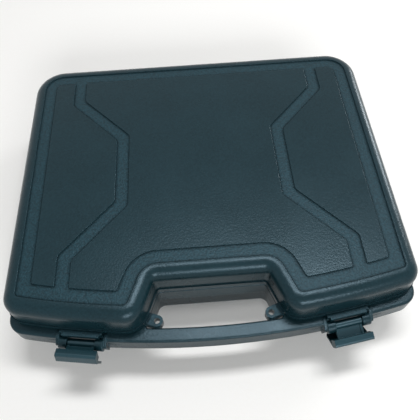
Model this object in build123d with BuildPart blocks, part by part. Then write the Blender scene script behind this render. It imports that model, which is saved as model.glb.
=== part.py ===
"""Hard carry case: two moulded shells, a bowed handle bar, two latches on pins and a foam lining.

Millimetres. +Z is up, the handle is at -Y and the hinge at +Y. The feet stand on Z = 0, and the
origin is below the middle of the case as it stands with both latches flipped open.
"""

import os
from math import acos, asin, atan2, cos, degrees, hypot, radians, sin, sqrt, tan

from build123d import *

# Body in plan
body_width = 328.4
body_depth = 281.0
front_bow_radius = 662.0
back_corner_radius = 30.0
front_corner_radius = 16.0
smallest_corner = 2.0

# Handle notch in the front of the body
notch_depth = 36.9
notch_back_half_width = 44.8
notch_flare_angle = 20.7
notch_inner_radius = 3.5
notch_outer_radius = 17.0

# Heights
foot_height = 1.5
tub_depth = 46.5
rim_band_height = 16.0
parting_gap = 0.4
lid_height = 27.6

# Walls
shell_wall = 2.6
floor_thickness = 2.8
lid_wall = 2.5
lid_top_thickness = 2.6
lid_draft = 2.0
tub_draft = 3.0
rim_overhang = 0.8
rim_edge_radius = 1.8
tub_inset = 1.8
tub_bottom_bevel = 5.0
upstand_height = 3.0
upstand_clearance = 0.3
lid_lip_height = 5.0
lid_top_radius = 10.0

# Front flange and handle bar
flange_depth = 7.1
flange_bow_radius = 700.0
flange_corner_radius = 14.0
flange_thickness = 2.6
skirt_wall = 2.4
bar_depth = 11.6
gap_edge_bevel = 1.0
gap_wall = 2.8
rib_thickness = 1.6
rib_spacing = 15.0
hollow_half_width = 146.0

# Sunk channel between the three panels of the lid
border_inset = 12.0
channel_width = 12.0
channel_depth = 0.8
hourglass_end_half_width = 110.4
hourglass_waist_half_width = 66.0
hourglass_back_end = 49.0
hourglass_back_waist = 97.0
hourglass_front_waist = 105.6
hourglass_front_end = 57.0
hourglass_corner_radius = 7.0

# Padlock lugs at the two ends of the finger gap
lug_x = 45.5
lug_set_back = 10.6
lug_radius = 4.75
lug_hole_radius = 2.4
lug_root = 1.5
base_lug_thickness = 4.0
lid_lug_thickness = 3.2

# Latches
latch_inset = 58.2
pivot_stand_off = 0.8
pivot_drop = 5.4
recess_depth = 3.4
latch_pin_radius = 1.5
running_clearance = 0.05
barrel_radius = 3.3
ear_spacing = 38.0
ear_thickness = 2.5
ear_radius = 3.2
ear_ridge_height = 0.8
ear_ridge_clearance = 0.6
ear_ridge_set_back = 1.8
ear_tail = 10.4
ear_tail_reach = 1.0
ear_boss_radius = 5.2
ear_boss_length = 6.6
barrel_end_clearance = 0.25
web_thickness = 1.8
web_bulge = 0.4
hook_reach = 6.5
hook_height = 6.1
hook_half_width = 16.0
lip_reach = 15.0
lip_drop = 8.9
lip_thickness = 1.8
lip_hollow = 0.35
lip_corner_radius = 3.0
lip_root_radius = 1.2
hook_gap = 0.4
hook_corner_radius = 2.2
grip_reach = 2.0
grip_step = 0.3
gusset_thickness = 2.0
gusset_depth = 0.8
catch_width = 34.0
catch_thickness = 4.1
catch_set_back = 1.4
catch_root = 1.6
catch_notch = 2.2
left_open_angle = 72.0
right_open_angle = 112.0

# Hinges
hinge_inset = 59.2
hinge_pin_radius = 1.5
knuckle_radius = 4.5
knuckle_wall_gap = 0.7
knuckle_length = 16.0
knuckle_gap = 0.4
knuckle_count = 3
knuckle_root = 11.0

# Feet
foot_length = 26.0
foot_width = 9.0
foot_inset = 34.0

# Foam lining
foam_clearance = 0.5
foam_layer_gap = 0.2
foam_floor_thickness = 10.0
foam_tray_drop = 0.6
foam_lid_back = 9.0
foam_lid_gap = 1.0
foam_peak_pitch = 31.0
foam_valley_half_width = 12.4
pocket_margin = 18.0
pocket_gap = 16.0
device_pocket = (176.0, 104.0)
charger_pocket = (88.0, 70.0)
probe_pocket = (176.0, 34.0)
accessory_pocket = (56.0, 34.0)
cable_pocket_radius = 38.0
thumb_cut_radius = 15.0

# Levels that follow from the sizes above
parting_z = foot_height + tub_depth
lid_bottom_z = parting_z + parting_gap
lid_top_z = lid_bottom_z + lid_height
ceiling_z = lid_top_z - lid_top_thickness
band_bottom_z = parting_z - rim_band_height
floor_z = foot_height + floor_thickness
hinge_z = parting_z + parting_gap / 2
pivot_z = parting_z - pivot_drop
hook_bottom = pivot_drop + parting_gap + catch_thickness + hook_gap
hook_top = hook_bottom + hook_height

# Insets of the walls from the body's plan
cavity_inset = tub_inset + shell_wall
cavity_floor_inset = cavity_inset + (parting_z - floor_z) * tan(radians(tub_draft))
upstand_top_z = parting_z + upstand_height
upstand_inset = cavity_inset - upstand_height * tan(radians(tub_draft))
ceiling_inset = lid_wall + (ceiling_z - lid_bottom_z) * tan(radians(lid_draft))
tub_inner_bevel = tub_bottom_bevel - (2 - sqrt(2)) * shell_wall
lid_inner_radius = lid_top_radius - lid_wall

# The foam lining follows the cavity
foam_floor_z = floor_z + foam_layer_gap
tray_z = foam_floor_z + foam_floor_thickness + foam_layer_gap
tray_top_z = parting_z - foam_tray_drop
tray_low_inset = cavity_inset + (parting_z - tray_z) * tan(radians(tub_draft)) + foam_clearance
tray_high_inset = cavity_inset + foam_tray_drop * tan(radians(tub_draft)) + foam_clearance
lid_foam_tip_z = tray_top_z + foam_lid_gap
lid_foam_top_z = ceiling_z - foam_layer_gap
lid_foam_chamfer = ceiling_inset + lid_inner_radius + foam_layer_gap - cavity_inset - foam_clearance

# Latches and hinges keep their distance from the body's sides
latch_x = body_width / 2 - latch_inset
hinge_x = body_width / 2 - hinge_inset

# The case stands centred in Y between its hinge knuckles and the tip of the lower latch
latch_turn = asin(latch_x / flange_bow_radius)
recess_width = ear_spacing - ear_thickness
tip_reach = hook_top * sin(radians(right_open_angle)) - hook_reach * cos(radians(right_open_angle))
front_reach = (
    flange_depth
    - flange_bow_radius * (1 - cos(latch_turn))
    + (pivot_stand_off + tip_reach) * cos(latch_turn)
    + hook_half_width * sin(latch_turn)
)
back_reach = rim_overhang + knuckle_wall_gap + 2 * knuckle_radius
body_back_y = (body_depth + front_reach - back_reach) / 2
body_front_y = body_back_y - body_depth
bow_centre_y = body_front_y + front_bow_radius
notch_back_y = body_front_y + notch_depth
flange_front_y = body_front_y - flange_depth
flange_centre_y = flange_front_y + flange_bow_radius
hinge_y = body_back_y + rim_overhang + knuckle_wall_gap + knuckle_radius
lug_y = body_front_y + lug_set_back
flare = radians(notch_flare_angle)
lining_half_width = body_width / 2 - tray_low_inset
lining_back_y = body_back_y - tray_low_inset


def bow_point(x, centre_y, radius):
    """Point at x on the front arc of the given centre and radius."""
    return (x, centre_y - sqrt(radius**2 - x**2))


def flare_meets_bow(half_width, back_y, centre_y, radius):
    """Point where the notch's flared side, starting at (half_width, back_y), meets a front arc."""
    slope = tan(flare)
    drop = centre_y - back_y
    b = half_width * slope + drop
    c = half_width**2 + drop**2 - radius**2
    run = (sqrt(b**2 - (1 + slope**2) * c) - b) / (1 + slope**2)
    return (half_width + run * slope, back_y - run)


def tangent_point(centre, radius, point, turn):
    """Where a line from the point touches a circle, on the side that turn (1 or -1) gives."""
    away_x = point[0] - centre[0]
    away_y = point[1] - centre[1]
    angle = atan2(away_y, away_x) + turn * acos(radius / hypot(away_x, away_y))
    return (centre[0] + radius * cos(angle), centre[1] + radius * sin(angle))


def notch_half_width(inset):
    """Half width of the notch's back wall when the wall is moved into the body by inset."""
    return notch_back_half_width + inset * (1 / cos(flare) - tan(flare))


def body_plan(inset, straight_corners=False):
    """Plan of the body with its handle notch, every wall moved in by inset.

    A foam blank has straight_corners: its outer corners are cut straight across, which keeps it
    clear of the shell's rounded ones.
    """
    half = body_width / 2 - inset
    back = body_back_y - inset
    bow = front_bow_radius - inset
    notch_y = notch_back_y + inset
    inner = notch_half_width(inset)
    outer_x, outer_y = flare_meets_bow(inner, notch_y, bow_centre_y, bow)
    corner = bow_point(half, bow_centre_y, bow)
    middle = bow_point((half + outer_x) / 2, bow_centre_y, bow)
    with BuildSketch() as plan:
        with BuildLine():
            Polyline(corner, (half, back), (-half, back), (-corner[0], corner[1]))
            ThreePointArc((-corner[0], corner[1]), (-middle[0], middle[1]), (-outer_x, outer_y))
            Polyline((-outer_x, outer_y), (-inner, notch_y), (inner, notch_y), (outer_x, outer_y))
            ThreePointArc((outer_x, outer_y), middle, corner)
        make_face()
        outer_corners = [
            ((half, back), back_corner_radius - inset),
            (corner, front_corner_radius - inset),
            ((outer_x, outer_y), notch_outer_radius - inset),
        ]
        cut_corner = chamfer if straight_corners else fillet
        for (x, y), radius in outer_corners:
            for side in (-1, 1):
                corner_vertex = plan.vertices().sort_by_distance((side * x, y))[0]
                cut_corner(corner_vertex, max(radius, smallest_corner))
        if not straight_corners:
            for side in (-1, 1):
                corner_vertex = plan.vertices().sort_by_distance((side * inner, notch_y))[0]
                fillet(corner_vertex, notch_inner_radius + inset)
    return plan.sketch


def drafted_block(mouth_z, mouth_inset, end_z, wall_draft, straight_corners=False):
    """Solid on the body's plan from its wide mouth to its end level, its walls leaning inwards."""
    with BuildPart() as block:
        with BuildSketch(Plane.XY.offset(mouth_z)):
            add(body_plan(mouth_inset, straight_corners))
        extrude(amount=end_z - mouth_z)
        walls = block.faces().filter_by(lambda face: abs(face.normal_at().Z) < 0.5)
        draft(walls, Plane.XY.offset(mouth_z), wall_draft if end_z > mouth_z else -wall_draft)
    return block


def end_edges(block, hand):
    """The outline of a block's top (1) or bottom (-1) face."""
    return block.faces().sort_by(Axis.Z)[-1 if hand == 1 else 0].outer_wire().edges()


def rim_plan(inset):
    """Plan of the base's rim with its bowed front flange, the finger gap still closed."""
    half = body_width / 2 + rim_overhang - inset
    back = body_back_y + rim_overhang - inset
    bow = flange_bow_radius - inset
    corner = bow_point(half, flange_centre_y, bow)
    with BuildSketch() as plan:
        with BuildLine():
            Polyline(corner, (half, back), (-half, back), (-corner[0], corner[1]))
            ThreePointArc((-corner[0], corner[1]), (0, flange_front_y + inset), corner)
        make_face()
        for side in (-1, 1):
            back_vertex = plan.vertices().sort_by_distance((side * half, back))[0]
            fillet(back_vertex, max(back_corner_radius + rim_overhang - inset, smallest_corner))
            front_vertex = plan.vertices().sort_by_distance((side * corner[0], corner[1]))[0]
            fillet(front_vertex, max(flange_corner_radius - inset, smallest_corner))
    return plan.sketch


def gap_plan(growth):
    """Plan of the finger gap between the notch walls and the handle bar, grown by growth."""
    notch_y = notch_back_y - rim_overhang + growth
    inner = notch_half_width(growth - rim_overhang)
    radius = flange_bow_radius - bar_depth + growth
    outer_x, outer_y = flare_meets_bow(inner, notch_y, flange_centre_y, radius)
    with BuildSketch() as plan:
        with BuildLine():
            Polyline((-outer_x, outer_y), (-inner, notch_y), (inner, notch_y), (outer_x, outer_y))
            ThreePointArc((outer_x, outer_y), (0, flange_centre_y - radius), (-outer_x, outer_y))
        make_face()
        fillet(plan.vertices().group_by(Axis.Y)[-1], notch_inner_radius + growth)
        fillet(plan.vertices().group_by(Axis.Y)[0], smallest_corner + growth)
    return plan.sketch


def hourglass_plan(outset):
    """Plan of the hourglass that bounds the lid's middle panel, its sides moved out by outset."""
    lean = outset * tan(radians(45) / 2)
    far = body_depth
    end = hourglass_end_half_width + outset
    waist = hourglass_waist_half_width + outset
    right = [
        (end, body_back_y + far),
        (end, body_back_y - hourglass_back_end - lean),
        (waist, body_back_y - hourglass_back_waist - lean),
        (waist, body_front_y + hourglass_front_waist + lean),
        (end, body_front_y + hourglass_front_end + lean),
        (end, body_front_y - far),
    ]
    left = [(-x, y) for x, y in reversed(right)]
    with BuildSketch() as plan:
        with BuildLine():
            Polyline(*right, *left, close=True)
        make_face()
        turns = plan.vertices().filter_by(lambda v: body_front_y < v.Y < body_back_y)
        fillet(turns, hourglass_corner_radius)
    return plan.sketch


def channel_plan():
    """Plan of the sunk channel: the field inside the border less its three panels."""
    panel_field = body_plan(border_inset + channel_width)
    with BuildSketch() as middle_panel:
        add(panel_field)
        add(hourglass_plan(0), mode=Mode.INTERSECT)
    with BuildSketch() as side_panels:
        add(panel_field)
        add(hourglass_plan(channel_width), mode=Mode.SUBTRACT)
    with BuildSketch() as plan:
        add(body_plan(border_inset))
        add(middle_panel.sketch, mode=Mode.SUBTRACT)
        add(side_panels.sketch, mode=Mode.SUBTRACT)
    return plan.sketch


def recess_plan(side, depth, width):
    """Plan of a latch's recess, from well in front of the flange to depth behind its face."""
    turn = side * latch_turn
    face = (flange_bow_radius * sin(turn), flange_centre_y - flange_bow_radius * cos(turn), 0)
    with BuildSketch() as plan:
        with Locations(Location(face, (0, 0, degrees(turn)))):
            Rectangle(width, 2 * depth)
    return plan.sketch


def hollow_plan():
    """Plan of the open cells under the flange and inside the handle bar, between their ribs."""
    rib_count = int(hollow_half_width / rib_spacing)
    rib_places = [(i * rib_spacing, body_front_y) for i in range(-rib_count, rib_count + 1)]
    with BuildSketch() as plan:
        with Locations((0, body_front_y)):
            Rectangle(2 * hollow_half_width, 2 * notch_depth)
        add(rim_plan(skirt_wall), mode=Mode.INTERSECT)
        add(body_plan(tub_inset), mode=Mode.SUBTRACT)
        add(gap_plan(gap_wall), mode=Mode.SUBTRACT)
        for side in (-1, 1):
            recess_wall = recess_plan(side, recess_depth + skirt_wall, recess_width + 2 * skirt_wall)
            add(recess_wall, mode=Mode.SUBTRACT)
        with Locations(*rib_places):
            Rectangle(rib_thickness, 2 * notch_depth, mode=Mode.SUBTRACT)
    return plan.sketch


def latch_plane(side, open_angle=0.0):
    """Plane across a latch: X out of the case, Y up when shut, turned open by open_angle."""
    turn = side * latch_turn
    reach = flange_bow_radius + pivot_stand_off
    pivot = (reach * sin(turn), flange_centre_y - reach * cos(turn), pivot_z)
    swing = radians(open_angle)
    outward = (sin(turn) * cos(swing), -cos(turn) * cos(swing), -sin(swing))
    return Plane(origin=pivot, x_dir=outward, z_dir=(-cos(turn), -sin(turn), 0))


def ear_pair(side):
    """The two ears of a latch: a ridge over the flange, a fin round the pin and a boss inside."""
    plane = latch_plane(side)
    back = -(pivot_stand_off + flange_depth - rim_overhang - ear_ridge_clearance)
    top = pivot_drop + ear_ridge_height
    low = pivot_drop - flange_thickness / 2
    skin = -(pivot_stand_off + skirt_wall / 2)
    shoulder = (-(pivot_stand_off + ear_ridge_set_back), top)
    tail = (ear_tail_reach, -ear_tail)
    crown = tangent_point((0, 0), ear_radius, shoulder, -1)
    toe = tangent_point((0, 0), ear_radius, tail, 1)
    with BuildPart() as ears:
        for place in (-1, 1):
            with BuildSketch(plane.offset(place * ear_spacing / 2)):
                Circle(ear_radius)
                with BuildLine():
                    Polyline((back, low), (back, top), shoulder, crown, (0, 0), toe, tail)
                    Polyline(tail, (skin, -ear_tail), (skin, low), (back, low))
                make_face()
            extrude(amount=ear_thickness / 2, both=True)
            boss_centre = place * (recess_width - ear_boss_length) / 2
            with BuildSketch(plane.offset(boss_centre)):
                Circle(ear_boss_radius)
            extrude(amount=ear_boss_length / 2, both=True)
    return ears.part


def catch_lip(side):
    """Lip on the lid's front wall that a latch hooks over, with a small notch at each end."""
    plane = latch_plane(side)
    root = -(pivot_stand_off + flange_depth + catch_root)
    edge = -(pivot_stand_off + catch_set_back)
    low = pivot_drop + parting_gap
    high = low + catch_thickness
    with BuildPart() as lip:
        with BuildSketch(plane):
            with BuildLine():
                Polyline((root, low), (edge, low), (edge, high), (root, high), close=True)
            make_face()
        extrude(amount=catch_width / 2, both=True)
        for place in (-1, 1):
            with BuildSketch(plane.offset(place * (catch_width - catch_notch) / 2)):
                with Locations((edge, (low + high) / 2)):
                    Rectangle(2 * catch_notch, 2 * catch_thickness)
            extrude(amount=catch_notch / 2, both=True, mode=Mode.SUBTRACT)
    return lip.part


def padlock_lug(side, bottom_z, thickness):
    """Lug at one end of the finger gap: a round eye joined to the notch's flared wall."""
    wall_x = notch_half_width(-rim_overhang)
    wall_y = notch_back_y - rim_overhang
    reach = (wall_x - lug_x) * cos(flare) + (wall_y - lug_y) * sin(flare) + lug_root
    eye = (side * lug_x, lug_y, bottom_z)
    arm = Plane(origin=eye, x_dir=(side * cos(flare), sin(flare), 0), z_dir=(0, 0, 1))
    with BuildPart() as lug:
        with BuildSketch(arm):
            Circle(lug_radius)
            Rectangle(reach, 2 * lug_radius, align=(Align.MIN, Align.CENTER))
        extrude(amount=thickness)
    return lug.part


def hinge_knuckles(first, hand):
    """Every second knuckle of both hinges from number first, rooted above (1) or below (-1)."""
    root_y = body_back_y - shell_wall / 2
    root_z = hinge_z + hand * knuckle_root
    near_z = hinge_z + hand * parting_gap
    outer = tangent_point((hinge_y, hinge_z), knuckle_radius, (root_y, root_z), -hand)
    pitch = knuckle_length + knuckle_gap
    with BuildPart() as knuckles:
        for side in (-1, 1):
            for number in range(first, knuckle_count, 2):
                x = side * hinge_x + (number - (knuckle_count - 1) / 2) * pitch
                with BuildSketch(Plane.YZ.offset(x)):
                    with Locations((hinge_y, hinge_z)):
                        Circle(knuckle_radius)
                    with BuildLine():
                        Polyline((root_y, near_z), (root_y, root_z), outer, (hinge_y, hinge_z))
                        Polyline((hinge_y, hinge_z), (hinge_y, near_z), (root_y, near_z))
                    make_face()
                extrude(amount=knuckle_length / 2, both=True)
    return knuckles.part


def latch_lever(side, open_angle):
    """One latch: a barrel on the pin, a web with two gussets, a hook bar and a flared finger lip."""
    plane = latch_plane(side, open_angle)
    barrel_length = recess_width - 2 * (ear_boss_length + barrel_end_clearance)
    web_outer = grip_reach - grip_step
    web_inner = web_outer - web_thickness
    bar_middle = (hook_bottom + hook_top) / 2
    belly = ((barrel_radius + web_outer) / 2 + web_bulge, hook_bottom / 2)
    lean = atan2(lip_drop, lip_reach - grip_reach)
    inwards = Vector(-sin(lean), -cos(lean))
    lip_start, lip_end = Vector(grip_reach, hook_top), Vector(lip_reach, hook_top - lip_drop)
    lip_middle = (lip_start + lip_end) / 2 + inwards * lip_hollow
    skin = inwards * lip_thickness
    with BuildPart() as lever:
        with BuildSketch(plane):
            with BuildLine():
                Polyline((barrel_radius, 0), (0, 0), (web_inner, barrel_radius), (web_inner, bar_middle))
                Polyline((web_inner, bar_middle), (web_outer, bar_middle), (web_outer, hook_bottom))
                ThreePointArc((web_outer, hook_bottom), belly, (barrel_radius, 0))
            make_face()
            Circle(barrel_radius)
        extrude(amount=barrel_length / 2, both=True)
        with BuildSketch(plane) as bar:
            with Locations(((grip_reach - hook_reach) / 2, bar_middle)):
                Rectangle(grip_reach + hook_reach, hook_height)
            with BuildLine():
                ThreePointArc(lip_start, lip_middle, lip_end)
                Line(lip_end, lip_end + skin)
                ThreePointArc(lip_end + skin, lip_middle + skin, lip_start + skin)
                Line(lip_start + skin, lip_start)
            make_face()
            crown = [(-hook_reach, hook_top), (grip_reach, hook_top)]
            fillet([bar.vertices().sort_by_distance(point)[0] for point in crown], hook_corner_radius)
            root = (grip_reach, hook_top - lip_thickness / cos(lean))
            fillet(bar.vertices().sort_by_distance(root)[0], lip_root_radius)
        extrude(amount=hook_half_width, both=True)
        tip = lip_end + skin / 2
        tips = [plane.from_local_coords((tip.X, tip.Y, end * hook_half_width)) for end in (-1, 1)]
        fillet([lever.edges().sort_by_distance(point)[0] for point in tips], lip_corner_radius)
        for place in (-1, 1):
            with BuildSketch(plane.offset(place * (barrel_length - gusset_thickness) / 2)):
                with BuildLine():
                    Polyline(
                        (web_outer - web_thickness / 2, 0), (web_inner - gusset_depth, barrel_radius / 2),
                        (web_inner - gusset_depth, hook_bottom + grip_step),
                        (web_outer - web_thickness / 2, hook_bottom + grip_step), close=True,
                    )
                make_face()
            extrude(amount=gusset_thickness / 2, both=True)
        with BuildSketch(plane):
            Circle(latch_pin_radius + running_clearance)
        extrude(amount=barrel_length, both=True, mode=Mode.SUBTRACT)
    return lever


def round_pin(plane, radius, length):
    """A plain steel pin along the plane's normal."""
    with BuildPart() as pin:
        with BuildSketch(plane):
            Circle(radius)
        extrude(amount=length / 2, both=True)
    return pin


os.makedirs("parts", exist_ok=True)

with drafted_block(band_bottom_z, tub_inset, foot_height, tub_draft) as tub_block:
    chamfer(end_edges(tub_block, -1), tub_bottom_bevel)
with drafted_block(upstand_top_z, upstand_inset, floor_z, tub_draft) as tub_core:
    chamfer(end_edges(tub_core, -1), tub_inner_bevel)
with drafted_block(lid_bottom_z, 0, lid_top_z, lid_draft) as lid_block:
    fillet(end_edges(lid_block, 1), lid_top_radius)
with drafted_block(lid_bottom_z, lid_wall, ceiling_z, lid_draft) as lid_core:
    chamfer(end_edges(lid_core, 1), lid_inner_radius)
left_ears, right_ears = ear_pair(-1), ear_pair(1)
left_catch, right_catch = catch_lip(-1), catch_lip(1)
base_lugs = [padlock_lug(side, parting_z - base_lug_thickness, base_lug_thickness) for side in (-1, 1)]
lid_lugs = [padlock_lug(side, lid_bottom_z, lid_lug_thickness) for side in (-1, 1)]
base_knuckles = hinge_knuckles(0, -1)
lid_knuckles = hinge_knuckles(1, 1)
latch_pin_length = ear_spacing + ear_thickness
hinge_pin_length = knuckle_count * knuckle_length + (knuckle_count - 1) * knuckle_gap
foot_x = body_width / 2 - foot_inset
foot_front_y = body_front_y + foot_inset
foot_back_y = body_back_y - foot_inset

with BuildPart() as base_shell:
    with BuildSketch(Plane.XY.offset(band_bottom_z)):
        add(rim_plan(0))
        add(gap_plan(0), mode=Mode.SUBTRACT)
    extrude(amount=rim_band_height)
    rim_top = base_shell.faces().sort_by(Axis.Z)[-1]
    fillet(rim_top.outer_wire().edges(), rim_edge_radius)
    rim_top = base_shell.faces().sort_by(Axis.Z)[-1]
    chamfer(rim_top.inner_wires()[0].edges(), gap_edge_bevel)
    with BuildSketch(Plane.XY.offset(band_bottom_z)):
        add([recess_plan(side, recess_depth, recess_width) for side in (-1, 1)])
    extrude(amount=rim_band_height, mode=Mode.SUBTRACT)
    add(tub_block.part)
    with BuildSketch(Plane.XY.offset(parting_z - flange_thickness)):
        add(body_plan(lid_wall + upstand_clearance))
    extrude(amount=flange_thickness + upstand_height)
    add([left_ears, right_ears, base_knuckles, *base_lugs])
    for y in (foot_front_y, foot_back_y):
        with BuildSketch():
            with Locations((-foot_x, y), (foot_x, y)):
                Rectangle(foot_length, foot_width)
        extrude(amount=foot_height + floor_thickness / 2)
    add(tub_core.part, mode=Mode.SUBTRACT)
    with BuildSketch(Plane.XY.offset(band_bottom_z)):
        add(hollow_plan())
    extrude(amount=rim_band_height - flange_thickness, mode=Mode.SUBTRACT)
    for side in (-1, 1):
        with BuildSketch(latch_plane(side)):
            Circle(latch_pin_radius + running_clearance)
        extrude(amount=latch_pin_length, both=True, mode=Mode.SUBTRACT)
        with BuildSketch(Plane.YZ.offset(side * hinge_x)):
            with Locations((hinge_y, hinge_z)):
                Circle(hinge_pin_radius + running_clearance)
        extrude(amount=hinge_pin_length, both=True, mode=Mode.SUBTRACT)
    with BuildSketch(Plane.XY.offset(parting_z)):
        with Locations((-lug_x, lug_y), (lug_x, lug_y)):
            Circle(lug_hole_radius)
    extrude(amount=-base_lug_thickness, mode=Mode.SUBTRACT)
base_shell.part.label = "base_shell"
export_step(base_shell.part, "parts/base_shell.step")

with BuildPart() as lid_shell:
    add(lid_block.part)
    with BuildSketch(Plane.XY.offset(lid_bottom_z)):
        add(body_plan(-rim_overhang))
    extrude(amount=lid_lip_height)
    add([left_catch, right_catch, lid_knuckles, *lid_lugs])
    add(lid_core.part, mode=Mode.SUBTRACT)
    with BuildSketch(Plane.XY.offset(lid_top_z)):
        add(channel_plan())
    extrude(amount=-channel_depth, mode=Mode.SUBTRACT)
    for side in (-1, 1):
        with BuildSketch(Plane.YZ.offset(side * hinge_x)):
            with Locations((hinge_y, hinge_z)):
                Circle(hinge_pin_radius + running_clearance)
        extrude(amount=hinge_pin_length, both=True, mode=Mode.SUBTRACT)
    with BuildSketch(Plane.XY.offset(lid_bottom_z)):
        with Locations((-lug_x, lug_y), (lug_x, lug_y)):
            Circle(lug_hole_radius)
    extrude(amount=lid_lug_thickness, mode=Mode.SUBTRACT)
lid_shell.part.label = "lid_shell"
export_step(lid_shell.part, "parts/lid_shell.step")

latch_left = latch_lever(-1, left_open_angle)
latch_left.part.label = "latch_left"
export_step(latch_left.part, "parts/latch_left.step")

latch_right = latch_lever(1, right_open_angle)
latch_right.part.label = "latch_right"
export_step(latch_right.part, "parts/latch_right.step")

latch_pin_left = round_pin(latch_plane(-1), latch_pin_radius, latch_pin_length)
latch_pin_left.part.label = "latch_pin_left"
export_step(latch_pin_left.part, "parts/latch_pin_left.step")

latch_pin_right = round_pin(latch_plane(1), latch_pin_radius, latch_pin_length)
latch_pin_right.part.label = "latch_pin_right"
export_step(latch_pin_right.part, "parts/latch_pin_right.step")

hinge_axis_left = Plane(origin=(-hinge_x, hinge_y, hinge_z), z_dir=(1, 0, 0))
hinge_pin_left = round_pin(hinge_axis_left, hinge_pin_radius, hinge_pin_length)
hinge_pin_left.part.label = "hinge_pin_left"
export_step(hinge_pin_left.part, "parts/hinge_pin_left.step")

hinge_axis_right = Plane(origin=(hinge_x, hinge_y, hinge_z), z_dir=(1, 0, 0))
hinge_pin_right = round_pin(hinge_axis_right, hinge_pin_radius, hinge_pin_length)
hinge_pin_right.part.label = "hinge_pin_right"
export_step(hinge_pin_right.part, "parts/hinge_pin_right.step")

with BuildPart() as base_foam_floor:
    with BuildSketch(Plane.XY.offset(foam_floor_z)):
        add(body_plan(cavity_floor_inset + foam_clearance, straight_corners=True))
    extrude(amount=foam_floor_thickness)
    chamfer(end_edges(base_foam_floor, -1), tub_inner_bevel)
base_foam_floor.part.label = "base_foam_floor"
export_step(base_foam_floor.part, "parts/base_foam_floor.step")

tray_block = drafted_block(tray_top_z, tray_high_inset, tray_z, tub_draft, straight_corners=True)
device_x = pocket_margin + device_pocket[0] / 2 - lining_half_width
device_y = lining_back_y - pocket_margin - device_pocket[1] / 2
probe_x = pocket_margin + probe_pocket[0] / 2 - lining_half_width
probe_y = device_y - device_pocket[1] / 2 - pocket_gap - probe_pocket[1] / 2
charger_x = lining_half_width - pocket_margin - charger_pocket[0] / 2
charger_y = lining_back_y - pocket_margin - charger_pocket[1] / 2
cable_y = charger_y - charger_pocket[1] / 2 - pocket_gap - cable_pocket_radius
accessory_x = lining_half_width - pocket_margin - accessory_pocket[0] / 2
accessory_front_y = bow_point(accessory_x + accessory_pocket[0] / 2, bow_centre_y, front_bow_radius)[1]
accessory_y = accessory_front_y + tray_low_inset + pocket_margin + accessory_pocket[1] / 2
with BuildPart() as base_foam_tray:
    add(tray_block.part)
    with BuildSketch(Plane.XY.offset(tray_z)):
        with Locations((device_x, device_y)):
            Rectangle(*device_pocket)
        with Locations((device_x, device_y - device_pocket[1] / 2), (device_x, device_y + device_pocket[1] / 2)):
            Circle(thumb_cut_radius)
        with Locations((charger_x, charger_y)):
            Rectangle(*charger_pocket)
        with Locations((probe_x, probe_y)):
            Rectangle(*probe_pocket)
        with Locations((charger_x, cable_y)):
            Circle(cable_pocket_radius)
        with Locations((-accessory_x, accessory_y), (accessory_x, accessory_y)):
            Rectangle(*accessory_pocket)
    extrude(amount=tray_top_z - tray_z, mode=Mode.SUBTRACT)
base_foam_tray.part.label = "base_foam_tray"
export_step(base_foam_tray.part, "parts/base_foam_tray.step")

peak_columns = int(body_width / foam_peak_pitch)
peak_rows = int(body_depth / foam_peak_pitch)
valley_z = lid_foam_top_z - foam_lid_back
column_valleys = [((i - peak_columns / 2) * foam_peak_pitch, valley_z) for i in range(peak_columns + 1)]
row_valleys = [((i - peak_rows / 2) * foam_peak_pitch, valley_z) for i in range(peak_rows + 1)]
groove_depth = valley_z - lid_foam_tip_z
groove = [(0, 0), (-foam_valley_half_width, -groove_depth), (foam_valley_half_width, -groove_depth)]
with BuildPart() as lid_foam:
    with BuildSketch(Plane.XY.offset(lid_foam_tip_z)):
        add(body_plan(cavity_inset + foam_clearance, straight_corners=True))
    extrude(amount=lid_foam_top_z - lid_foam_tip_z)
    chamfer(end_edges(lid_foam, 1), lid_foam_chamfer)
    with BuildSketch(Plane.XZ):
        with Locations(*column_valleys):
            Polygon(*groove, align=None)
    extrude(amount=body_depth, both=True, mode=Mode.SUBTRACT)
    with BuildSketch(Plane.YZ):
        with Locations(*row_valleys):
            Polygon(*groove, align=None)
    extrude(amount=body_width, both=True, mode=Mode.SUBTRACT)
lid_foam.part.label = "lid_foam"
export_step(lid_foam.part, "parts/lid_foam.step")
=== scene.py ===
"""Hard carry case: finishes of its shells, latches and pins, its foam lining, and the studio."""
import logging
import math
from dataclasses import dataclass
from enum import Enum
from typing import Any, Callable

import bmesh
import bpy
from mathutils import Matrix, Vector


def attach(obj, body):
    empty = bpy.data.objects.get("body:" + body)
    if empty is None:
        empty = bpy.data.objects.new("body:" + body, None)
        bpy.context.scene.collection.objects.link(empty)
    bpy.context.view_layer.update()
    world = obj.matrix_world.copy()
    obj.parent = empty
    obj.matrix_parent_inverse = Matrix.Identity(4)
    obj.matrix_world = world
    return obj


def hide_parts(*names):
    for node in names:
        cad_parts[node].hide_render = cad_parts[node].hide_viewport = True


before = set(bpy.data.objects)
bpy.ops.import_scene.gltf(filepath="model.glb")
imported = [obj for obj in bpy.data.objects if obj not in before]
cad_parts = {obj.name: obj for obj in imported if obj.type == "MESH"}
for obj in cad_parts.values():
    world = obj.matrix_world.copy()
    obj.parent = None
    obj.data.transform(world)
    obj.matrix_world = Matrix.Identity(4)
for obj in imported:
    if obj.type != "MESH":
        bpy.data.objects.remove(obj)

logging.basicConfig(level=logging.INFO, format="%(message)s")
log = logging.getLogger("hard_carry_case")

Point = tuple[float, float]
Place = tuple[float, float, float]
MM = 0.001
PLAIN_WHITE = (1.0, 1.0, 1.0, 1.0)


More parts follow.
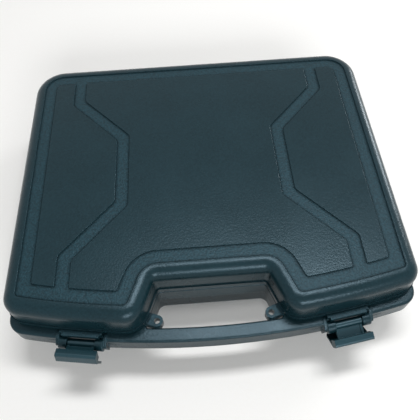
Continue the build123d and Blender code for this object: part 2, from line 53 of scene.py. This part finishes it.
def linear(hex_colour: str) -> tuple[float, float, float, float]:
    """Turn an sRGB hex colour into linear RGBA.

    Args:
        hex_colour: Six hex digits with a leading #.

    Returns:
        The colour's linear red, green and blue, and an alpha of 1.
    """
    channels = [int(hex_colour[i:i + 2], 16) / 255 for i in (1, 3, 5)]
    return (*(c / 12.92 if c <= 0.04045 else ((c + 0.055) / 1.055) ** 2.4 for c in channels), 1.0)


def per_mm(size: float) -> float:
    """Texture scale, in metres, whose pattern repeats about every size millimetres."""
    return 1 / (size * MM)


def node(tree: bpy.types.NodeTree, kind: str, settings: dict[str, Any] | None = None,
         **sockets: Any) -> bpy.types.Node:
    """Add a shader node with its settings, socket values and links.

    Args:
        tree: The material's node tree.
        kind: The node's Blender type, without its ShaderNode prefix.
        settings: Properties of the node itself.
        **sockets: Input values or output sockets to link, named in_<index> or by the input's
            name in lower case with underscores.

    Returns:
        The new node.
    """
    made = tree.nodes.new("ShaderNode" + kind)
    for name, value in (settings or {}).items():
        setattr(made, name, value)
    for name, value in sockets.items():
        if name.startswith("in_"):
            socket = made.inputs[int(name[3:])]
        else:
            socket = next(s for s in made.inputs if s.name.lower().replace(" ", "_") == name)
        if isinstance(value, bpy.types.NodeSocket):
            tree.links.new(value, socket)
        else:
            socket.default_value = value
    return made


def blank_material(name: str) -> bpy.types.Material:
    """Make a material with an empty node tree.

    Args:
        name: The material's name.

    Returns:
        The new material.
    """
    material = bpy.data.materials.new(name)
    material.use_nodes = True
    material.node_tree.nodes.clear()
    return material


class Region(Enum):
    """Where a shell's mould was left smooth and where it was textured."""

    PLAIN = "plain"
    SUNK_CHANNEL = "sunk channel"


@dataclass(frozen=True)
class MouldedPolypropylene:
    """Polypropylene coloured through, injection moulded in a spark-eroded tool.

    It gives the eye a dark blue-green body colour under a broad satin highlight, a fine grain,
    and edges painted paler, partly as wear and partly as painted highlight. The lid's sunk
    channel is coarser and duller, with a painted shade line, darker and less reflective, where
    its floor meets a panel.
    """

    name: str
    colour: str = "#081d22"
    flow_colour: str = "#0b242a"
    pale_fleck_wear_and_highlight_colour: str = "#2f515c"
    channel_colour: str = "#092026"
    channel_speck: str = "#18363f"
    reflection_tint: str = "#ceedff"
    reflection_level: float = 0.30
    roughness: float = 0.28
    channel_roughness: float = 0.42
    ior: float = 1.49
    grain_size: float = 1.7
    grain_depth: float = 0.13
    channel_grain_depth: float = 0.30
    grain_shade: float = 0.12
    # Painted shade: the channel floor turns darker and less reflective next to a wall.
    corner_shade_colour: str = "#03080a"
    corner_shade_reach: float = 3.0
    corner_shade_strength: float = 0.6
    no_corner_shade_ao: float = 0.98
    full_corner_shade_ao: float = 0.89
    flow_size: float = 45.0
    gloss_change: float = 0.03
    speck_low: float = 0.35
    speck_high: float = 0.65
    edge_radius: float = 0.5
    # Paler edges: partly wear, partly painted highlight where edges catch the light.
    edge_wear_and_highlight_start: float = 0.96
    edge_wear_and_highlight_full: float = 0.75
    edge_wear_and_highlight_strength: float = 0.7
    region: Region = Region.PLAIN
    channel_top: float = 75.6
    level_normal: float = 0.995

    def material(self) -> bpy.types.Material:
        """Build the material.

        Returns:
            A material whose grain is 1.7 mm across, about twice the real one, which would
            be too fine to show in the render.
        """
        material = blank_material(self.name)
        tree = material.node_tree
        place = node(tree, "TexCoord")
        where = place.outputs["Object"]
        flow = node(tree, "TexNoise", vector=where, scale=per_mm(self.flow_size), detail=3.0)
        grain = node(tree, "TexNoise", vector=where, scale=per_mm(self.grain_size), detail=2.0,
                     roughness=0.6)
        rounded = node(tree, "Bevel", {"samples": 4}, radius=self.edge_radius * MM)
        facing = node(tree, "NewGeometry")
        turned = node(tree, "VectorMath", {"operation": "DOT_PRODUCT"},
                      in_0=rounded.outputs["Normal"], in_1=facing.outputs["Normal"])
        # Edges where the rounded normal turns are painted paler: partly wear, partly painted
        # highlight.
        edge_wear_and_highlight = node(tree, "MapRange", value=turned.outputs["Value"], from_min=self.edge_wear_and_highlight_start,
                    from_max=self.edge_wear_and_highlight_full, to_min=0.0, to_max=self.edge_wear_and_highlight_strength)
        blotch = node(tree, "Mix", {"data_type": "RGBA"}, in_0=flow.outputs["Fac"],
                      in_6=linear(self.colour), in_7=linear(self.flow_colour))
        speck = node(tree, "MapRange", value=grain.outputs["Fac"], from_min=self.speck_low,
                     from_max=self.speck_high, to_min=0.0, to_max=self.grain_shade)
        body = node(tree, "Mix", {"data_type": "RGBA"}, in_0=speck.outputs["Result"],
                    in_6=blotch.outputs[2], in_7=linear(self.pale_fleck_wear_and_highlight_colour))
        sheen = node(tree, "MapRange", value=flow.outputs["Fac"], from_min=0.3, from_max=0.7,
                     to_min=self.roughness - self.gloss_change,
                     to_max=self.roughness + self.gloss_change)
        roughness = sheen.outputs["Result"]
        depth: Any = self.grain_depth
        skin = body.outputs[2]
        reflection: Any = self.reflection_level
        if self.region is Region.SUNK_CHANNEL:
            axes = node(tree, "SeparateXYZ", vector=where)
            normal = node(tree, "SeparateXYZ", vector=place.outputs["Normal"])
            low = node(tree, "Math", {"operation": "LESS_THAN"}, in_0=axes.outputs["Z"],
                       in_1=self.channel_top * MM)
            flat = node(tree, "Math", {"operation": "GREATER_THAN"}, in_0=normal.outputs["Z"],
                        in_1=self.level_normal)
            floor = node(tree, "Math", {"operation": "MULTIPLY"}, in_0=low.outputs[0],
                         in_1=flat.outputs[0])
            rough = node(tree, "Mix", {"data_type": "FLOAT"}, in_0=floor.outputs[0],
                         in_2=roughness, in_3=self.channel_roughness)
            roughness = rough.outputs[0]
            deep = node(tree, "MapRange", value=floor.outputs[0], to_min=self.grain_depth,
                        to_max=self.channel_grain_depth)
            depth = deep.outputs["Result"]
            fleck = node(tree, "MapRange", value=grain.outputs["Fac"], from_min=self.speck_low,
                         from_max=self.speck_high)
            dots = node(tree, "Mix", {"data_type": "RGBA"}, in_0=fleck.outputs["Result"],
                        in_6=linear(self.channel_colour), in_7=linear(self.channel_speck))
            sunk = node(tree, "Mix", {"data_type": "RGBA"}, in_0=floor.outputs[0], in_6=skin,
                        in_7=dots.outputs[2])
            # Painted shade: near a wall the channel floor darkens and reflects less.
            corner = node(tree, "AmbientOcclusion", {"samples": 8}, distance=self.corner_shade_reach * MM)
            corner_shade_ramp = node(tree, "MapRange", value=corner.outputs["AO"], from_min=self.no_corner_shade_ao,
                        from_max=self.full_corner_shade_ao, to_min=0.0, to_max=self.corner_shade_strength)
            painted_corner_shade = node(tree, "Math", {"operation": "MULTIPLY"}, in_0=corner_shade_ramp.outputs["Result"],
                          in_1=floor.outputs[0])
            corner_shaded = node(tree, "Mix", {"data_type": "RGBA"}, in_0=painted_corner_shade.outputs[0],
                         in_6=sunk.outputs[2], in_7=linear(self.corner_shade_colour))
            skin = corner_shaded.outputs[2]
            shade_dulled = node(tree, "MapRange", value=painted_corner_shade.outputs[0],
                        to_min=self.reflection_level, to_max=0.0)
            reflection = shade_dulled.outputs["Result"]
        colour = node(tree, "Mix", {"data_type": "RGBA"}, in_0=edge_wear_and_highlight.outputs["Result"],
                      in_6=skin, in_7=linear(self.pale_fleck_wear_and_highlight_colour))
        bump = node(tree, "Bump", distance=MM, strength=depth, height=grain.outputs["Fac"],
                    normal=rounded.outputs["Normal"])
        surface = node(tree, "BsdfPrincipled", base_color=colour.outputs[2], roughness=roughness,
                       ior=self.ior, specular_ior_level=reflection,
                       specular_tint=linear(self.reflection_tint), normal=bump.outputs["Normal"])
        node(tree, "OutputMaterial", surface=surface.outputs["BSDF"])
        return material


@dataclass(frozen=True)
class DrawnSteel:
    """Mild steel wire, drawn through a die and zinc plated.

    It gives the eye a bright grey metal with fine lines along its length.
    """

    name: str
    colour: str = "#aeb3b8"
    tarnish: str = "#8b9196"
    roughness: float = 0.32
    line_size: float = 0.5
    line_stretch: float = 0.02
    line_depth: float = 0.04
    gloss_change: float = 0.08
    stain_size: float = 6.0

    def material(self) -> bpy.types.Material:
        """Build the material.

        Returns:
            A material whose draw lines, finer than a pixel on the real pins, are 0.5 mm wide
            so that they show.
        """
        material = blank_material(self.name)
        tree = material.node_tree
        where = node(tree, "TexCoord").outputs["Object"]
        drawn = node(tree, "Mapping", vector=where, scale=(self.line_stretch, 1.0, 1.0))
        lines = node(tree, "TexNoise", vector=drawn.outputs["Vector"], scale=per_mm(self.line_size),
                     detail=2.0)
        stain = node(tree, "TexNoise", vector=where, scale=per_mm(self.stain_size), detail=2.0)
        colour = node(tree, "Mix", {"data_type": "RGBA"}, in_0=stain.outputs["Fac"],
                      in_6=linear(self.colour), in_7=linear(self.tarnish))
        rough = node(tree, "MapRange", value=lines.outputs["Fac"],
                     to_min=self.roughness - self.gloss_change,
                     to_max=self.roughness + self.gloss_change)
        bump = node(tree, "Bump", distance=MM, strength=self.line_depth,
                    height=lines.outputs["Fac"])
        surface = node(tree, "BsdfPrincipled", base_color=colour.outputs[2], metallic=1.0,
                       roughness=rough.outputs["Result"], normal=bump.outputs["Normal"])
        node(tree, "OutputMaterial", surface=surface.outputs["BSDF"])
        return material


@dataclass(frozen=True)
class OpenCellFoam:
    """Polyurethane foam cut from a block with a knife and a die.

    It gives the eye a dull charcoal with open pores that swallow the light, their darkness painted
    as shade.
    """

    name: str
    colour: str = "#2b2d30"
    pore_shade_colour: str = "#17181a"
    pore_size: float = 1.6
    pore_depth: float = 0.5
    cloud_size: float = 14.0
    roughness: float = 0.95

    def material(self) -> bpy.types.Material:
        """Build the material.

        Returns:
            A material whose pores of 0.8 mm are drawn twice as coarse, so that they show.
        """
        material = blank_material(self.name)
        tree = material.node_tree
        where = node(tree, "TexCoord").outputs["Object"]
        pores = node(tree, "TexVoronoi", vector=where, scale=per_mm(self.pore_size))
        cloud = node(tree, "TexNoise", vector=where, scale=per_mm(self.cloud_size), detail=3.0)
        # Painted shade: the pores are coloured darker than the cell walls.
        open_pore = node(tree, "MapRange", value=pores.outputs["Distance"], from_min=0.05,
                         from_max=0.45)
        pores_painted_shaded = node(tree, "Mix", {"data_type": "RGBA"}, in_0=open_pore.outputs["Result"],
                     in_6=linear(self.pore_shade_colour), in_7=linear(self.colour))
        colour = node(tree, "Mix", {"data_type": "RGBA", "blend_type": "SOFT_LIGHT"}, in_0=0.5,
                      in_6=pores_painted_shaded.outputs[2], in_7=cloud.outputs["Color"])
        bump = node(tree, "Bump", distance=MM, strength=self.pore_depth,
                    height=open_pore.outputs["Result"])
        surface = node(tree, "BsdfPrincipled", base_color=colour.outputs[2],
                       roughness=self.roughness, normal=bump.outputs["Normal"])
        node(tree, "OutputMaterial", surface=surface.outputs["BSDF"])
        return material


@dataclass(frozen=True)
class BodyPlan:
    """Plan of the case with its handle notch, in millimetres, from which the foam is cut."""

    width: float = 328.4
    depth: float = 281.0
    back_y: float = 145.089
    bow_radius: float = 662.0
    notch_depth: float = 36.9
    notch_half_width: float = 44.8
    flare_angle: float = 20.7
    back_corner: float = 30.0
    front_corner: float = 16.0
    notch_corner: float = 17.0
    notch_inner: float = 3.5

    def bow_y(self, x: float, inset: float) -> float:
        """Y of the bowed front at x."""
        centre = self.back_y - self.depth + self.bow_radius
        return centre - math.sqrt((self.bow_radius - inset) ** 2 - x ** 2)

    def outline(self, inset: float) -> list[Point]:
        """Trace the plan with every wall moved in by inset.

        Args:
            inset: How far the walls move in.

        Returns:
            The outline's points, counter-clockwise.
        """
        half, back = self.width / 2 - inset, self.back_y - inset
        slope = math.tan(math.radians(self.flare_angle))
        shift = inset * (1 / math.cos(math.radians(self.flare_angle)) - slope)
        inner = self.notch_half_width + shift
        notch_y = self.back_y - self.depth + self.notch_depth + inset
        outer_x = inner
        for _ in range(20):
            outer_x = inner + slope * (notch_y - self.bow_y(outer_x, inset))
        outer_y = self.bow_y(outer_x, inset)
        middle_x = (half + outer_x) / 2
        right = [
            ((inner, notch_y), self.notch_inner + inset),
            ((outer_x, outer_y), self.notch_corner - inset),
            ((middle_x, self.bow_y(middle_x, inset)), 0.0),
            ((half, self.bow_y(half, inset)), self.front_corner - inset),
            ((half, back), self.back_corner - inset),
        ]
        left = [((-x, y), radius) for (x, y), radius in reversed(right)]
        corners = right + left
        points: list[Point] = []
        for i, (corner, radius) in enumerate(corners):
            before, after = corners[i - 1][0], corners[(i + 1) % len(corners)][0]
            points += rounded_corner(before, corner, after, radius)
        return points


def rounded_corner(before: Point, corner: Point, after: Point, radius: float,
                   steps: int = 7) -> list[Point]:
    """Round one corner of a polygon.

    Args:
        before: The corner before it.
        corner: The corner itself.
        after: The corner after it.
        radius: The arc's radius, or 0 for a point that stays.
        steps: Number of points along the arc, less one.

    Returns:
        The points that stand in for the corner.
    """
    here = Vector(corner)
    to_before, to_after = (Vector(before) - here).normalized(), (Vector(after) - here).normalized()
    half_angle = to_before.angle(to_after) / 2
    if radius <= 0.5 or half_angle > math.radians(88):
        return [corner]
    centre = here + (to_before + to_after).normalized() * radius / math.sin(half_angle)
    reach = radius / math.tan(half_angle)
    start, end = here + to_before * reach - centre, here + to_after * reach - centre
    turn = start.angle_signed(end)
    return [tuple(centre + Matrix.Rotation(-turn * i / steps, 2) @ start) for i in range(steps + 1)]


def rounded_rectangle(centre: Point, size: Point, radius: float) -> list[Point]:
    """Outline a rectangle with rounded corners.

    Args:
        centre: The rectangle's centre.
        size: Its whole width and depth.
        radius: Its corners' radius.

    Returns:
        The outline's points, counter-clockwise.
    """
    x, y, w, d = *centre, size[0] / 2, size[1] / 2
    corners = [(x + w, y - d), (x + w, y + d), (x - w, y + d), (x - w, y - d)]
    points: list[Point] = []
    for i, corner in enumerate(corners):
        points += rounded_corner(corners[i - 1], corner, corners[(i + 1) % 4], radius, 5)
    return points


def circle_outline(centre: Point, radius: float, steps: int = 40) -> list[Point]:
    """Outline a circle.

    Args:
        centre: The circle's centre.
        radius: Its radius.
        steps: Number of points along it.

    Returns:
        The outline's points, counter-clockwise.
    """
    turn = 2 * math.pi / steps
    return [(centre[0] + radius * math.cos(i * turn), centre[1] + radius * math.sin(i * turn))
            for i in range(steps)]


def new_object(name: str, mesh: bpy.types.Mesh, material: bpy.types.Material) -> bpy.types.Object:
    """Put a mesh in the scene with its material.

    Args:
        name: The object's name.
        mesh: Its mesh, in metres and in place.
        material: Its material.

    Returns:
        The new object.
    """
    piece = bpy.data.objects.new(name, mesh)
    bpy.context.scene.collection.objects.link(piece)
    mesh.materials.clear()
    mesh.materials.append(material)
    return piece


def cut_slab(name: str, outlines: list[list[Point]], low: float, high: float,
             edge: float, lean: Callable[[float], float]) -> bpy.types.Mesh:
    """Cut a slab from its outlines, with softly rounded edges and leaning walls.

    Args:
        name: The mesh's name.
        outlines: The outer outline, then the holes, in millimetres.
        low: The slab's underside.
        high: The slab's top.
        edge: Radius that rounds its edges.
        lean: Scale of the plan at a height.

    Returns:
        The slab's mesh, in metres.
    """
    curve = bpy.data.curves.new(name, "CURVE")
    curve.dimensions = "2D"
    curve.fill_mode = "BOTH"
    curve.extrude = ((high - low) / 2 - edge) * MM
    curve.bevel_depth = edge * MM
    curve.bevel_resolution = 2
    curve.offset = -edge * MM
    for outline in outlines:
        spline = curve.splines.new("POLY")
        spline.points.add(len(outline) - 1)
        for point, (x, y) in zip(spline.points, outline):
            point.co = (x * MM, y * MM, 0, 1)
        spline.use_cyclic_u = True
    holder = bpy.data.objects.new(name, curve)
    bpy.context.scene.collection.objects.link(holder)
    mesh = bpy.data.meshes.new_from_object(holder)
    bpy.data.objects.remove(holder)
    for vertex in mesh.vertices:
        vertex.co.z += (low + high) / 2 * MM
        scale = lean(vertex.co.z / MM)
        vertex.co.x *= scale
        vertex.co.y *= scale
    mesh.name = name
    return mesh


@dataclass
class Shells:
    """The two moulded shells with what is moulded onto them."""

    base_name: str = "base_shell"
    lid_name: str = "lid_shell"

    def dress(self) -> None:
        """Give the base its plain finish and the lid its textured channel."""
        base = MouldedPolypropylene("moulded_polypropylene_base", edge_radius=1.6)
        lid = MouldedPolypropylene("moulded_polypropylene_lid", region=Region.SUNK_CHANNEL)
        assign(self.base_name, base.material())
        assign(self.lid_name, lid.material())


@dataclass
class Latches:
    """The two flip latches with their pins, and the hinge pins."""

    levers: tuple[str, ...] = ("latch_left", "latch_right")
    pins: tuple[str, ...] = ("latch_pin_left", "latch_pin_right", "hinge_pin_left",
                             "hinge_pin_right")

    def dress(self) -> None:
        """Give the levers a glossier mould finish, lighter as painted highlight, and the pins drawn
        steel.
        """
        # The levers are the body's plastic; their lighter colour is painted highlight.
        lever_painted_lighter = MouldedPolypropylene("moulded_polypropylene_latch", colour="#14363e",
                                     reflection_level=0.5, roughness=0.30,
                                     grain_depth=0.03).material()
        steel = DrawnSteel("drawn_steel_pin").material()
        for name in self.levers:
            assign(name, lever_painted_lighter)
        for name in self.pins:
            assign(name, steel)


def assign(name: str, material: bpy.types.Material) -> None:
    """Give every material slot of a CAD node the same material.

    Args:
        name: The node's name.
        material: The material that it gets.
    """
    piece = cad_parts[name]
    if not piece.material_slots:
        piece.data.materials.append(material)
    for slot in piece.material_slots:
        slot.material = material
    log.info("%s: %s", name, material.name)


@dataclass(frozen=True)
class Pocket:
    """A rectangular pocket in the tray, by its centre and its whole width and depth."""

    centre: Point
    size: Point


@dataclass
class FoamLining:
    """The foam in both shells: a floor sheet, a tray with pockets and a convoluted lid pad."""

    plan: BodyPlan
    parting_z: float = 48.0
    tub_draft: float = 3.0
    cavity_inset: float = 4.4
    clearance: float = 0.5
    floor_clearance: float = 2.6
    floor_low: float = 4.5
    floor_high: float = 14.5
    tray_low: float = 14.7
    tray_high: float = 47.4
    pad_low: float = 48.4
    pad_high: float = 73.2
    pad_back: float = 9.0
    pad_bevel: float = 6.2
    peak_pitch: float = 31.0
    peak_steps: int = 8
    peak_sharpness: float = 1.6
    edge: float = 1.2
    pocket_corner: float = 6.0
    device: Pocket = Pocket((-51.555, 68.444), (176.0, 104.0))
    thumb_radius: float = 15.0
    thumb_steps: int = 10
    probe: Pocket = Pocket((-51.555, -16.556), (176.0, 34.0))
    charger: Pocket = Pocket((95.555, 85.444), (88.0, 70.0))
    cable_centre: Point = (95.555, -3.556)
    cable_radius: float = 38.0
    small_left: Pocket = Pocket((-111.555, -79.389), (56.0, 34.0))
    small_right: Pocket = Pocket((111.555, -79.389), (56.0, 34.0))

    def inset_at(self, z: float) -> float:
        """Inset of the foam's wall at a height in the tub."""
        taper = (self.parting_z - z) * math.tan(math.radians(self.tub_draft))
        return self.cavity_inset + taper + self.clearance

    def build(self) -> None:
        """Cut the three pieces and put each in place of its plain solid."""
        foam = OpenCellFoam("open_cell_polyurethane_foam").material()
        for name, mesh, body, solid in (
            ("foam_floor_sheet", self.floor_mesh(), "base", "base_foam_floor"),
            ("foam_pocket_tray", self.tray_mesh(), "base", "base_foam_tray"),
            ("foam_lid_pad", self.pad_mesh(), "lid", "lid_foam"),
        ):
            piece = new_object(name, mesh, foam)
            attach(piece, body)
            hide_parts(solid)
            log.info("%s stands for %s, %d faces", name, solid, len(mesh.polygons))

    def floor_mesh(self) -> bpy.types.Mesh:
        """Cut the thin sheet that lies on the tub's floor.

        Returns:
            The sheet's mesh, in metres.
        """
        outline = self.plan.outline(self.inset_at(self.floor_low) + self.floor_clearance)
        return cut_slab("foam_floor_sheet", [outline], self.floor_low, self.floor_high, self.edge,
                        lambda z: 1.0)

    def tray_mesh(self) -> bpy.types.Mesh:
        """Cut the tray with its pockets for the device, its probe, a charger and a cable.

        Returns:
            The tray's mesh, in metres, narrowing downwards as the tub's walls do.
        """
        top_inset = self.inset_at(self.tray_high)
        narrow = math.tan(math.radians(self.tub_draft)) / (self.plan.width / 2 - top_inset)
        pockets = [
            self.device_pocket(),
            self.pocket_outline(self.probe),
            self.pocket_outline(self.charger),
            circle_outline(self.cable_centre, self.cable_radius),
            self.pocket_outline(self.small_left),
            self.pocket_outline(self.small_right),
        ]
        return cut_slab("foam_pocket_tray", [self.plan.outline(top_inset), *pockets], self.tray_low,
                        self.tray_high, self.edge, lambda z: 1 - (self.tray_high - z) * narrow)

    def pocket_outline(self, pocket: Pocket) -> list[Point]:
        """Outline of a rectangular pocket with rounded corners."""
        return rounded_rectangle(pocket.centre, pocket.size, self.pocket_corner)

    def device_pocket(self) -> list[Point]:
        """Outline the large pocket, with a thumb cut in its front and back walls.

        Returns:
            The outline's points, counter-clockwise.
        """
        x, y = self.device.centre
        half_depth = self.device.size[1] / 2
        turn = math.pi / self.thumb_steps
        cut = [(self.thumb_radius * math.cos(i * turn), self.thumb_radius * math.sin(i * turn))
               for i in range(self.thumb_steps + 1)]
        front = [(x - a, y - half_depth - b) for a, b in cut]
        back = [(x + a, y + half_depth + b) for a, b in cut]
        sides = self.pocket_outline(self.device)
        middle = len(sides) // 2
        return front + sides[:middle] + back + sides[middle:]

    def pad_mesh(self) -> bpy.types.Mesh:
        """Form the lid's pad, its face in soft rounded peaks.

        Returns:
            A closed mesh: a wavy face towards the tray, walls and a flat back.
        """
        outline = [Vector(p) for p in self.plan.outline(self.cavity_inset + self.clearance)]
        step = self.peak_pitch / self.peak_steps
        wave = 2 * math.pi / self.peak_pitch
        depth = self.pad_high - self.pad_back - self.pad_low
        reach_x = int(self.plan.width / 2 / step) + 1
        reach_y = int(self.plan.depth / 2 / step) + 2
        shape = bmesh.new()
        grid: dict[tuple[int, int], tuple[bmesh.types.BMVert, bool]] = {}
        for i in range(-reach_x, reach_x + 1):
            for j in range(-reach_y, reach_y + 1):
                point = Vector((i * step, j * step))
                inside = is_inside(point, outline)
                if not inside:
                    point = nearest_on(point, outline)
                crest = (0.5 - 0.5 * math.cos(wave * (point.x + self.peak_pitch / 2))) * (
                    0.5 - 0.5 * math.cos(wave * (point.y + self.peak_pitch / 2)))
                z = self.pad_low + depth * (1 - crest) ** self.peak_sharpness
                grid[i, j] = (shape.verts.new((point.x * MM, point.y * MM, z * MM)), inside)
        faces = []
        for i in range(-reach_x, reach_x):
            for j in range(-reach_y, reach_y):
                ring = [grid[i, j], grid[i, j + 1], grid[i + 1, j + 1], grid[i + 1, j]]
                if any(inside for _, inside in ring):
                    faces.append(shape.faces.new([vertex for vertex, _ in ring]))
        bmesh.ops.delete(shape, geom=[v for v in shape.verts if not v.link_faces], context="VERTS")
        bmesh.ops.remove_doubles(shape, verts=list(shape.verts), dist=0.02 * MM)
        raised = bmesh.ops.extrude_face_region(shape, geom=list(shape.faces))
        back = [v for v in raised["geom"] if isinstance(v, bmesh.types.BMVert)]
        for vertex in back:
            vertex.co.z = self.pad_high * MM
            plan_point = Vector((vertex.co.x, vertex.co.y)) / MM
            edge_point = nearest_on(plan_point, outline)
            short = self.pad_bevel - (plan_point - edge_point).length
            if short > 0:
                vertex.co.z = (self.pad_high - short) * MM
        bmesh.ops.recalc_face_normals(shape, faces=list(shape.faces))
        mesh = bpy.data.meshes.new("foam_lid_pad")
        shape.to_mesh(mesh)
        shape.free()
        for polygon in mesh.polygons:
            polygon.use_smooth = True
        mesh.set_sharp_from_angle(angle=math.radians(50))
        return mesh


def is_inside(point: Vector, outline: list[Vector]) -> bool:
    """Tell whether a point lies inside a closed outline.

    Args:
        point: The point.
        outline: The outline's points in order.

    Returns:
        True if it lies inside.
    """
    inside = False
    for a, b in zip(outline, outline[1:] + outline[:1]):
        if (a.y > point.y) != (b.y > point.y):
            if point.x < a.x + (point.y - a.y) / (b.y - a.y) * (b.x - a.x):
                inside = not inside
    return inside


def nearest_on(point: Vector, outline: list[Vector]) -> Vector:
    """Find where an outline comes nearest to a point.

    Args:
        point: The point.
        outline: The outline's points in order.

    Returns:
        The nearest place on the outline's sides.
    """
    best, least = outline[0], float("inf")
    for a, b in zip(outline, outline[1:] + outline[:1]):
        along = b - a
        share = min(max((point - a).dot(along) / along.length_squared, 0.0), 1.0)
        candidate = a + along * share
        distance = (candidate - point).length
        if distance < least:
            best, least = candidate, distance
    return best


def seen_directly(tree: bpy.types.NodeTree) -> bpy.types.NodeSocket:
    """Tell the rays that show a surface as it is from those that only gather its light.

    Args:
        tree: The node tree of the floor or the world.

    Returns:
        A socket that is 1 for camera, glossy and transmission rays.
    """
    path = node(tree, "LightPath")
    mirrored = node(tree, "Math", {"operation": "MAXIMUM"}, in_0=path.outputs["Is Glossy Ray"],
                    in_1=path.outputs["Is Transmission Ray"])
    return node(tree, "Math", {"operation": "MAXIMUM"}, in_0=path.outputs["Is Camera Ray"],
                in_1=mirrored.outputs[0]).outputs[0]


@dataclass(frozen=True)
class Softbox:
    """A white rectangular lamp: where it hangs and faces and its size in metres, and its watts."""

    name: str
    place: Place
    aim: Place
    size: tuple[float, float]
    power: float

    def hang(self) -> None:
        """Put the lamp in the scene."""
        lamp = bpy.data.lights.new(self.name, "AREA")
        lamp.shape = "RECTANGLE"
        lamp.size, lamp.size_y = self.size
        lamp.energy = self.power
        holder = bpy.data.objects.new(self.name, lamp)
        bpy.context.scene.collection.objects.link(holder)
        holder.location = self.place
        facing = Vector(self.aim) - Vector(self.place)
        holder.rotation_euler = facing.to_track_quat("-Z", "Y").to_euler()
        log.info("%s: %.0f W", self.name, self.power)


@dataclass
class Studio:
    """Pale floor, soft lamps and the photographer's camera."""

    camera_place: Place = (-3.874, -256.398, 419.837)
    camera_yaw: float = 1.86642
    camera_drop: float = 57.92917
    camera_roll: float = -2.58293
    focal_pixels: float = 481.624
    image_pixels: float = 420.0
    sensor_width: float = 36.0
    nearest_seen: float = 0.01
    floor_size: float = 8.0
    floor_gap: float = 0.1
    feet_height: float = 8.0
    fade_start: float = 0.55
    fade_end: float = 1.3
    paper_colour: str = "#fbfaf8"
    paper_fibre: str = "#fefefd"
    fibre_size: float = 3.0
    room_colour: str = "#f4f4f2"
    room_strength: float = 0.25
    softboxes: tuple[Softbox, ...] = (
        Softbox("overhead_strip", (0.3, 0.42, 1.9), (0.3, 0.0, 0.0), (1.1, 0.31), 21.0),
        Softbox("front_softbox", (0.4, -1.9, 1.1), (0.0, -0.1, 0.05), (1.25, 0.53), 25.0),
        Softbox("right_softbox", (1.8, 1.25, 0.6), (0.0, 0.0, 0.05), (0.7, 0.4), 16.0),
    )

    def build(self) -> None:
        """Set up the camera, the floor, the world and the lamps."""
        self.make_camera()
        self.make_floor()
        self.make_world()
        for softbox in self.softboxes:
            softbox.hang()
        bpy.context.scene.view_settings.view_transform = "Standard"

    def make_camera(self) -> None:
        """Stand the camera where the photograph was taken from."""
        angles = (self.camera_yaw, self.camera_drop, self.camera_roll)
        yaw, drop, roll = (math.radians(angle) for angle in angles)
        forward = Vector((math.sin(yaw) * math.cos(drop), math.cos(yaw) * math.cos(drop),
                          -math.sin(drop)))
        level = Vector((math.cos(yaw), -math.sin(yaw), 0.0))
        upright = level.cross(forward)
        right = math.cos(roll) * level + math.sin(roll) * upright
        up = -math.sin(roll) * level + math.cos(roll) * upright
        camera = bpy.data.objects.new("camera", bpy.data.cameras.new("camera"))
        bpy.context.scene.collection.objects.link(camera)
        camera.data.sensor_width = self.sensor_width
        camera.data.sensor_fit = "HORIZONTAL"
        camera.data.lens = self.focal_pixels * self.sensor_width / self.image_pixels
        camera.data.clip_start = self.nearest_seen
        turn = Matrix((right, up, -forward)).transposed().to_4x4()
        camera.matrix_world = Matrix.Translation(Vector(self.camera_place) * MM) @ turn
        bpy.context.scene.camera = camera

    def make_floor(self) -> None:
        """Lay a matt white floor with the case's shadow, fading far out and clear from below."""
        mesh = bpy.data.meshes.new("floor")
        half = self.floor_size / 2
        low = -self.floor_gap * MM
        mesh.from_pydata([(-half, -half, low), (half, -half, low), (half, half, low),
                          (-half, half, low)], [], [(0, 1, 2, 3)])
        material = blank_material("matt_white_paper")
        tree = material.node_tree
        where = node(tree, "TexCoord").outputs["Object"]
        fibre = node(tree, "TexNoise", vector=where, scale=per_mm(self.fibre_size), detail=3.0)
        colour = node(tree, "Mix", {"data_type": "RGBA"}, in_0=fibre.outputs["Fac"],
                      in_6=linear(self.paper_colour), in_7=linear(self.paper_fibre))
        paper = node(tree, "BsdfPrincipled", base_color=colour.outputs[2], roughness=0.9)
        distance = node(tree, "VectorMath", {"operation": "LENGTH"}, in_0=where)
        far = node(tree, "MapRange", {"interpolation_type": "SMOOTHSTEP"},
                   value=distance.outputs["Value"], from_min=self.fade_start,
                   from_max=self.fade_end)
        fade = node(tree, "Math", {"operation": "MULTIPLY"}, in_0=far.outputs["Result"],
                    in_1=seen_directly(tree))
        white = node(tree, "Emission", color=PLAIN_WHITE, strength=1.0)
        top = node(tree, "MixShader", in_0=fade.outputs[0], in_1=paper.outputs["BSDF"],
                   in_2=white.outputs[0])
        side = node(tree, "NewGeometry")
        close = node(tree, "Math", {"operation": "LESS_THAN"},
                     in_0=node(tree, "LightPath").outputs["Ray Length"], in_1=self.feet_height * MM)
        clear = node(tree, "Math", {"operation": "MAXIMUM"}, in_0=side.outputs["Backfacing"],
                     in_1=close.outputs[0])
        surface = node(tree, "MixShader", in_0=clear.outputs[0], in_1=top.outputs[0],
                       in_2=node(tree, "BsdfTransparent").outputs[0])
        node(tree, "OutputMaterial", surface=surface.outputs[0])
        floor = new_object("floor", mesh, material)

    def make_world(self) -> None:
        """Make a dim even room that the camera sees as white."""
        world = bpy.data.worlds.new("studio_room")
        bpy.context.scene.world = world
        world.use_nodes = True
        tree = world.node_tree
        tree.nodes.clear()
        room = node(tree, "Background", color=linear(self.room_colour),
                    strength=self.room_strength)
        white = node(tree, "Background", color=PLAIN_WHITE, strength=1.0)
        both = node(tree, "MixShader", in_0=seen_directly(tree), in_1=room.outputs[0],
                    in_2=white.outputs[0])
        node(tree, "OutputWorld", surface=both.outputs[0])


def main() -> None:
    """Build the scene piece by piece."""
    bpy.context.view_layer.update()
    Studio().build()
    Shells().dress()
    Latches().dress()
    FoamLining(BodyPlan()).build()
    bpy.context.view_layer.update()


if __name__ == "__main__":
    main()
